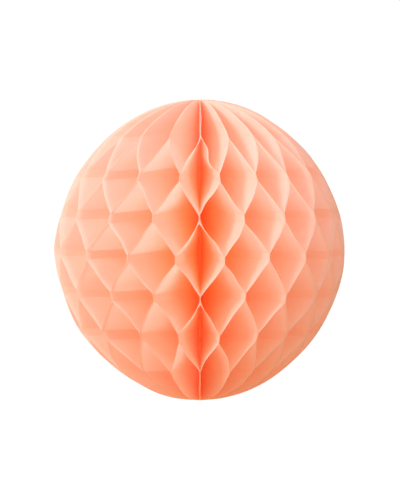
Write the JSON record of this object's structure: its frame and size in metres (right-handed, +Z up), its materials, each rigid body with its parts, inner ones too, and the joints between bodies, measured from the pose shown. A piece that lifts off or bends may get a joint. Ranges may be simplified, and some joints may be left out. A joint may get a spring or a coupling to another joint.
{
  "type": "paper honeycomb ball",
  "caption": "Round honeycomb decoration of glued tissue paper leaves that fan out round a cord between two half-round cards, and fold flat to a half disc.",
  "frame": {"origin": "middle of the ball, on the cord's axis", "axes": "+Z up along the cord; -Y is the front, where the leaves gather when folded; the closing seam of the two cards faces +Y; +X is to the right seen from the front"},
  "size_m": [0.1452, 0.1448, 0.1512],
  "materials": {
    "tissue": "matt, translucent, faintly fibrous",
    "card": "matt board covered in the same tissue",
    "cord": "twisted cotton",
    "adhesive": "double-sided adhesive dot"
  },
  "bodies": {
    "spine": {"spine_cord": "cord"},
    "left_card_body": {"left_card": "card", "closure_pad_top": "adhesive", "closure_pad_middle": "adhesive", "closure_pad_bottom": "adhesive"},
    "right_card_body": {"right_card": "card"},
    "leaf_01": {"tissue_leaf_01": "tissue"},
    "leaf_02": {"tissue_leaf_02": "tissue"},
    "leaf_03": {"tissue_leaf_03": "tissue"},
    "leaf_04": {"tissue_leaf_04": "tissue"},
    "leaf_05": {"tissue_leaf_05": "tissue"},
    "leaf_06": {"tissue_leaf_06": "tissue"},
    "leaf_07": {"tissue_leaf_07": "tissue"},
    "leaf_08": {"tissue_leaf_08": "tissue"},
    "leaf_09": {"tissue_leaf_09": "tissue"},
    "leaf_10": {"tissue_leaf_10": "tissue"},
    "leaf_11": {"tissue_leaf_11": "tissue"},
    "leaf_12": {"tissue_leaf_12": "tissue"},
    "leaf_13": {"tissue_leaf_13": "tissue"},
    "leaf_14": {"tissue_leaf_14": "tissue"},
    "leaf_15": {"tissue_leaf_15": "tissue"},
    "leaf_16": {"tissue_leaf_16": "tissue"},
    "leaf_17": {"tissue_leaf_17": "tissue"},
    "leaf_18": {"tissue_leaf_18": "tissue"},
    "leaf_19": {"tissue_leaf_19": "tissue"},
    "leaf_20": {"tissue_leaf_20": "tissue"},
    "leaf_21": {"tissue_leaf_21": "tissue"},
    "leaf_22": {"tissue_leaf_22": "tissue"},
    "leaf_23": {"tissue_leaf_23": "tissue"},
    "leaf_24": {"tissue_leaf_24": "tissue"},
    "leaf_25": {"tissue_leaf_25": "tissue"},
    "leaf_26": {"tissue_leaf_26": "tissue"},
    "leaf_27": {"tissue_leaf_27": "tissue"},
    "leaf_28": {"tissue_leaf_28": "tissue"},
    "leaf_29": {"tissue_leaf_29": "tissue"},
    "leaf_30": {"tissue_leaf_30": "tissue"},
    "leaf_31": {"tissue_leaf_31": "tissue"},
    "leaf_32": {"tissue_leaf_32": "tissue"},
    "leaf_33": {"tissue_leaf_33": "tissue"},
    "leaf_34": {"tissue_leaf_34": "tissue"},
    "leaf_35": {"tissue_leaf_35": "tissue"},
    "leaf_36": {"tissue_leaf_36": "tissue"},
    "leaf_37": {"tissue_leaf_37": "tissue"},
    "leaf_38": {"tissue_leaf_38": "tissue"}
  },
  "joints": [
    {"name": "left_card_fold", "type": "hinge", "parent": "spine", "child": "left_card_body", "pos_m": [-0.00218, 0, 0], "axis": [0, 0, 1], "range_deg": [0, 180]},
    {"name": "right_card_fold", "type": "hinge", "parent": "spine", "child": "right_card_body", "pos_m": [0.00218, 0, 0], "axis": [0, 0, 1], "range_deg": [-180, 0]},
    {"name": "leaf_01_fold", "type": "hinge", "parent": "spine", "child": "leaf_01", "pos_m": [-0.00129, -0.00005, 0], "axis": [0, 0, 1], "range_deg": [0, 175.26], "deforming": ["tissue_leaf_01"]},
    {"name": "leaf_02_fold", "type": "hinge", "parent": "spine", "child": "leaf_02", "pos_m": [-0.00122, -0.00015, 0], "axis": [0, 0, 1], "range_deg": [0, 165.79], "deforming": ["tissue_leaf_02"]},
    {"name": "leaf_03_fold", "type": "hinge", "parent": "spine", "child": "leaf_03", "pos_m": [-0.00115, -0.00024, 0], "axis": [0, 0, 1], "range_deg": [0, 156.32], "deforming": ["tissue_leaf_03"]},
    {"name": "leaf_04_fold", "type": "hinge", "parent": "spine", "child": "leaf_04", "pos_m": [-0.00109, -0.00032, 0], "axis": [0, 0, 1], "range_deg": [0, 146.84], "deforming": ["tissue_leaf_04"]},
    {"name": "leaf_05_fold", "type": "hinge", "parent": "spine", "child": "leaf_05", "pos_m": [-0.00102, -0.0004, 0], "axis": [0, 0, 1], "range_deg": [0, 137.37], "deforming": ["tissue_leaf_05"]},
    {"name": "leaf_06_fold", "type": "hinge", "parent": "spine", "child": "leaf_06", "pos_m": [-0.00094, -0.00046, 0], "axis": [0, 0, 1], "range_deg": [0, 127.89], "deforming": ["tissue_leaf_06"]},
    {"name": "leaf_07_fold", "type": "hinge", "parent": "spine", "child": "leaf_07", "pos_m": [-0.00088, -0.00052, 0], "axis": [0, 0, 1], "range_deg": [0, 118.42], "deforming": ["tissue_leaf_07"]},
    {"name": "leaf_08_fold", "type": "hinge", "parent": "spine", "child": "leaf_08", "pos_m": [-0.00081, -0.00057, 0], "axis": [0, 0, 1], "range_deg": [0, 108.95], "deforming": ["tissue_leaf_08"]},
    {"name": "leaf_09_fold", "type": "hinge", "parent": "spine", "child": "leaf_09", "pos_m": [-0.00073, -0.00062, 0], "axis": [0, 0, 1], "range_deg": [0, 99.47], "deforming": ["tissue_leaf_09"]},
    {"name": "leaf_10_fold", "type": "hinge", "parent": "spine", "child": "leaf_10", "pos_m": [-0.00067, -0.00067, 0], "axis": [0, 0, 1], "range_deg": [0, 90], "deforming": ["tissue_leaf_10"]},
    {"name": "leaf_11_fold", "type": "hinge", "parent": "spine", "child": "leaf_11", "pos_m": [-0.0006, -0.0007, 0], "axis": [0, 0, 1], "range_deg": [0, 80.53], "deforming": ["tissue_leaf_11"]},
    {"name": "leaf_12_fold", "type": "hinge", "parent": "spine", "child": "leaf_12", "pos_m": [-0.00052, -0.00074, 0], "axis": [0, 0, 1], "range_deg": [0, 71.05], "deforming": ["tissue_leaf_12"]},
    {"name": "leaf_13_fold", "type": "hinge", "parent": "spine", "child": "leaf_13", "pos_m": [-0.00046, -0.00076, 0], "axis": [0, 0, 1], "range_deg": [0, 61.58], "deforming": ["tissue_leaf_13"]},
    {"name": "leaf_14_fold", "type": "hinge", "parent": "spine", "child": "leaf_14", "pos_m": [-0.00038, -0.00079, 0], "axis": [0, 0, 1], "range_deg": [0, 52.11], "deforming": ["tissue_leaf_14"]},
    {"name": "leaf_15_fold", "type": "hinge", "parent": "spine", "child": "leaf_15", "pos_m": [-0.00032, -0.00081, 0], "axis": [0, 0, 1], "range_deg": [0, 42.63], "deforming": ["tissue_leaf_15"]},
    {"name": "leaf_16_fold", "type": "hinge", "parent": "spine", "child": "leaf_16", "pos_m": [-0.00024, -0.00082, 0], "axis": [0, 0, 1], "range_deg": [0, 33.16], "deforming": ["tissue_leaf_16"]},
    {"name": "leaf_17_fold", "type": "hinge", "parent": "spine", "child": "leaf_17", "pos_m": [-0.00017, -0.00083, 0], "axis": [0, 0, 1], "range_deg": [0, 23.68], "deforming": ["tissue_leaf_17"]},
    {"name": "leaf_18_fold", "type": "hinge", "parent": "spine", "child": "leaf_18", "pos_m": [-0.00011, -0.00084, 0], "axis": [0, 0, 1], "range_deg": [0, 14.21], "deforming": ["tissue_leaf_18"]},
    {"name": "leaf_19_fold", "type": "hinge", "parent": "spine", "child": "leaf_19", "pos_m": [-0.00003, -0.00085, 0], "axis": [0, 0, 1], "range_deg": [0, 4.74], "deforming": ["tissue_leaf_19"]},
    {"name": "leaf_20_fold", "type": "hinge", "parent": "spine", "child": "leaf_20", "pos_m": [0.00003, -0.00085, 0], "axis": [0, 0, 1], "range_deg": [-4.74, 0], "deforming": ["tissue_leaf_20"]},
    {"name": "leaf_21_fold", "type": "hinge", "parent": "spine", "child": "leaf_21", "pos_m": [0.00011, -0.00084, 0], "axis": [0, 0, 1], "range_deg": [-14.21, 0], "deforming": ["tissue_leaf_21"]},
    {"name": "leaf_22_fold", "type": "hinge", "parent": "spine", "child": "leaf_22", "pos_m": [0.00017, -0.00083, 0], "axis": [0, 0, 1], "range_deg": [-23.68, 0], "deforming": ["tissue_leaf_22"]},
    {"name": "leaf_23_fold", "type": "hinge", "parent": "spine", "child": "leaf_23", "pos_m": [0.00024, -0.00082, 0], "axis": [0, 0, 1], "range_deg": [-33.16, 0], "deforming": ["tissue_leaf_23"]},
    {"name": "leaf_24_fold", "type": "hinge", "parent": "spine", "child": "leaf_24", "pos_m": [0.00032, -0.00081, 0], "axis": [0, 0, 1], "range_deg": [-42.63, 0], "deforming": ["tissue_leaf_24"]},
    {"name": "leaf_25_fold", "type": "hinge", "parent": "spine", "child": "leaf_25", "pos_m": [0.00038, -0.00079, 0], "axis": [0, 0, 1], "range_deg": [-52.11, 0], "deforming": ["tissue_leaf_25"]},
    {"name": "leaf_26_fold", "type": "hinge", "parent": "spine", "child": "leaf_26", "pos_m": [0.00046, -0.00076, 0], "axis": [0, 0, 1], "range_deg": [-61.58, 0], "deforming": ["tissue_leaf_26"]},
    {"name": "leaf_27_fold", "type": "hinge", "parent": "spine", "child": "leaf_27", "pos_m": [0.00052, -0.00074, 0], "axis": [0, 0, 1], "range_deg": [-71.05, 0], "deforming": ["tissue_leaf_27"]},
    {"name": "leaf_28_fold", "type": "hinge", "parent": "spine", "child": "leaf_28", "pos_m": [0.0006, -0.0007, 0], "axis": [0, 0, 1], "range_deg": [-80.53, 0], "deforming": ["tissue_leaf_28"]},
    {"name": "leaf_29_fold", "type": "hinge", "parent": "spine", "child": "leaf_29", "pos_m": [0.00067, -0.00067, 0], "axis": [0, 0, 1], "range_deg": [-90, 0], "deforming": ["tissue_leaf_29"]},
    {"name": "leaf_30_fold", "type": "hinge", "parent": "spine", "child": "leaf_30", "pos_m": [0.00073, -0.00062, 0], "axis": [0, 0, 1], "range_deg": [-99.47, 0], "deforming": ["tissue_leaf_30"]},
    {"name": "leaf_31_fold", "type": "hinge", "parent": "spine", "child": "leaf_31", "pos_m": [0.00081, -0.00057, 0], "axis": [0, 0, 1], "range_deg": [-108.95, 0], "deforming": ["tissue_leaf_31"]},
    {"name": "leaf_32_fold", "type": "hinge", "parent": "spine", "child": "leaf_32", "pos_m": [0.00088, -0.00052, 0], "axis": [0, 0, 1], "range_deg": [-118.42, 0], "deforming": ["tissue_leaf_32"]},
    {"name": "leaf_33_fold", "type": "hinge", "parent": "spine", "child": "leaf_33", "pos_m": [0.00094, -0.00046, 0], "axis": [0, 0, 1], "range_deg": [-127.89, 0], "deforming": ["tissue_leaf_33"]},
    {"name": "leaf_34_fold", "type": "hinge", "parent": "spine", "child": "leaf_34", "pos_m": [0.00102, -0.0004, 0], "axis": [0, 0, 1], "range_deg": [-137.37, 0], "deforming": ["tissue_leaf_34"]},
    {"name": "leaf_35_fold", "type": "hinge", "parent": "spine", "child": "leaf_35", "pos_m": [0.00109, -0.00032, 0], "axis": [0, 0, 1], "range_deg": [-146.84, 0], "deforming": ["tissue_leaf_35"]},
    {"name": "leaf_36_fold", "type": "hinge", "parent": "spine", "child": "leaf_36", "pos_m": [0.00115, -0.00024, 0], "axis": [0, 0, 1], "range_deg": [-156.32, 0], "deforming": ["tissue_leaf_36"]},
    {"name": "leaf_37_fold", "type": "hinge", "parent": "spine", "child": "leaf_37", "pos_m": [0.00122, -0.00015, 0], "axis": [0, 0, 1], "range_deg": [-165.79, 0], "deforming": ["tissue_leaf_37"]},
    {"name": "leaf_38_fold", "type": "hinge", "parent": "spine", "child": "leaf_38", "pos_m": [0.00129, -0.00005, 0], "axis": [0, 0, 1], "range_deg": [-175.26, 0], "deforming": ["tissue_leaf_38"]}
  ],
  "couplings": [
    {"joint": "right_card_fold", "follows": "left_card_fold", "ratio": -1},
    {"joint": "leaf_01_fold", "follows": "left_card_fold", "ratio": 0.97368},
    {"joint": "leaf_02_fold", "follows": "left_card_fold", "ratio": 0.92105},
    {"joint": "leaf_03_fold", "follows": "left_card_fold", "ratio": 0.86842},
    {"joint": "leaf_04_fold", "follows": "left_card_fold", "ratio": 0.81579},
    {"joint": "leaf_05_fold", "follows": "left_card_fold", "ratio": 0.76316},
    {"joint": "leaf_06_fold", "follows": "left_card_fold", "ratio": 0.71053},
    {"joint": "leaf_07_fold", "follows": "left_card_fold", "ratio": 0.65789},
    {"joint": "leaf_08_fold", "follows": "left_card_fold", "ratio": 0.60526},
    {"joint": "leaf_09_fold", "follows": "left_card_fold", "ratio": 0.55263},
    {"joint": "leaf_10_fold", "follows": "left_card_fold", "ratio": 0.5},
    {"joint": "leaf_11_fold", "follows": "left_card_fold", "ratio": 0.44737},
    {"joint": "leaf_12_fold", "follows": "left_card_fold", "ratio": 0.39474},
    {"joint": "leaf_13_fold", "follows": "left_card_fold", "ratio": 0.34211},
    {"joint": "leaf_14_fold", "follows": "left_card_fold", "ratio": 0.28947},
    {"joint": "leaf_15_fold", "follows": "left_card_fold", "ratio": 0.23684},
    {"joint": "leaf_16_fold", "follows": "left_card_fold", "ratio": 0.18421},
    {"joint": "leaf_17_fold", "follows": "left_card_fold", "ratio": 0.13158},
    {"joint": "leaf_18_fold", "follows": "left_card_fold", "ratio": 0.078947},
    {"joint": "leaf_19_fold", "follows": "left_card_fold", "ratio": 0.026316},
    {"joint": "leaf_20_fold", "follows": "left_card_fold", "ratio": -0.026316},
    {"joint": "leaf_21_fold", "follows": "left_card_fold", "ratio": -0.078947},
    {"joint": "leaf_22_fold", "follows": "left_card_fold", "ratio": -0.13158},
    {"joint": "leaf_23_fold", "follows": "left_card_fold", "ratio": -0.18421},
    {"joint": "leaf_24_fold", "follows": "left_card_fold", "ratio": -0.23684},
    {"joint": "leaf_25_fold", "follows": "left_card_fold", "ratio": -0.28947},
    {"joint": "leaf_26_fold", "follows": "left_card_fold", "ratio": -0.34211},
    {"joint": "leaf_27_fold", "follows": "left_card_fold", "ratio": -0.39474},
    {"joint": "leaf_28_fold", "follows": "left_card_fold", "ratio": -0.44737},
    {"joint": "leaf_29_fold", "follows": "left_card_fold", "ratio": -0.5},
    {"joint": "leaf_30_fold", "follows": "left_card_fold", "ratio": -0.55263},
    {"joint": "leaf_31_fold", "follows": "left_card_fold", "ratio": -0.60526},
    {"joint": "leaf_32_fold", "follows": "left_card_fold", "ratio": -0.65789},
    {"joint": "leaf_33_fold", "follows": "left_card_fold", "ratio": -0.71053},
    {"joint": "leaf_34_fold", "follows": "left_card_fold", "ratio": -0.76316},
    {"joint": "leaf_35_fold", "follows": "left_card_fold", "ratio": -0.81579},
    {"joint": "leaf_36_fold", "follows": "left_card_fold", "ratio": -0.86842},
    {"joint": "leaf_37_fold", "follows": "left_card_fold", "ratio": -0.92105},
    {"joint": "leaf_38_fold", "follows": "left_card_fold", "ratio": -0.97368}
  ]
}
